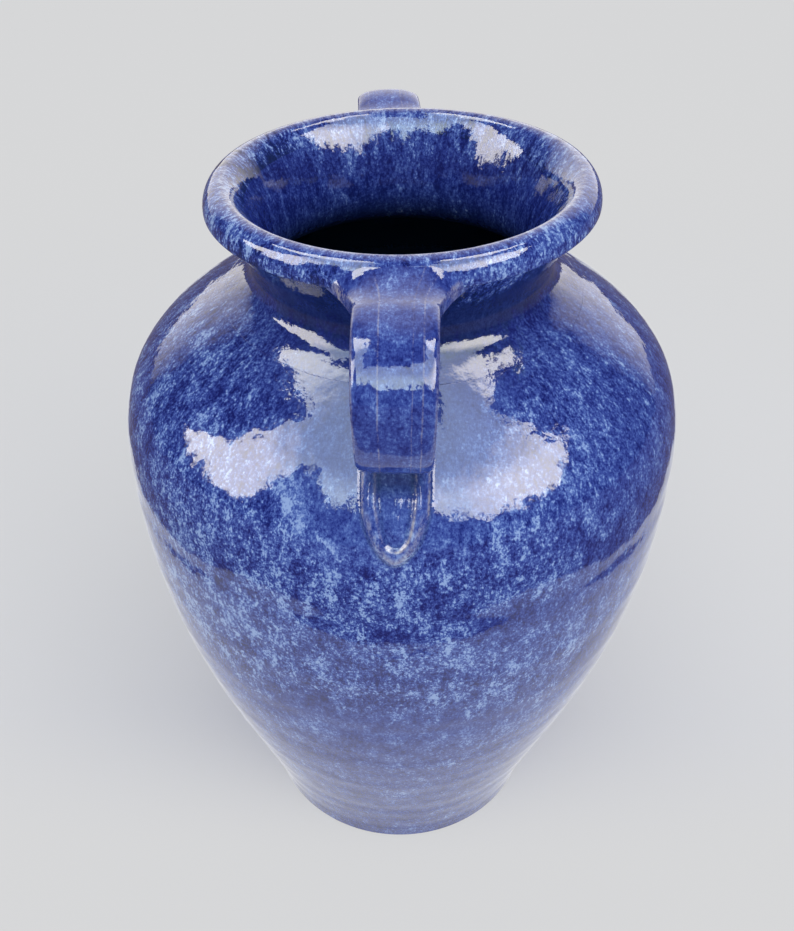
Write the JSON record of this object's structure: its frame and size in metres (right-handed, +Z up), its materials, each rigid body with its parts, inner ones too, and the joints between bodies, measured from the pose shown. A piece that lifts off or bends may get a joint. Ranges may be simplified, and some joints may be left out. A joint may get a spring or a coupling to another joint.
{
  "type": "two-handled vase",
  "caption": "Glazed stoneware vase with a swelling body, a flared neck with a rolled lip, and a strap handle on each side from lip to shoulder.",
  "frame": {"origin": "middle of the foot ring's underside, on the surface the vase stands on", "axes": "+Z up along the vase's axis; -Y towards the front handle"},
  "size_m": [0.248, 0.2522, 0.358],
  "materials": {
    "cobalt_glaze": "high gloss, mottled",
    "bare_clay": "unglazed matt"
  },
  "bodies": {
    "root": {"foot_ring": "bare_clay", "lower_body": "cobalt_glaze", "upper_body": "cobalt_glaze", "neck_collar": "cobalt_glaze", "rim_lip": "cobalt_glaze", "front_handle_strap": "cobalt_glaze", "front_handle_pad": "cobalt_glaze", "front_luting_coil": "cobalt_glaze", "rear_handle_strap": "cobalt_glaze", "rear_handle_pad": "cobalt_glaze", "rear_luting_coil": "cobalt_glaze"}
  },
  "joints": []
}
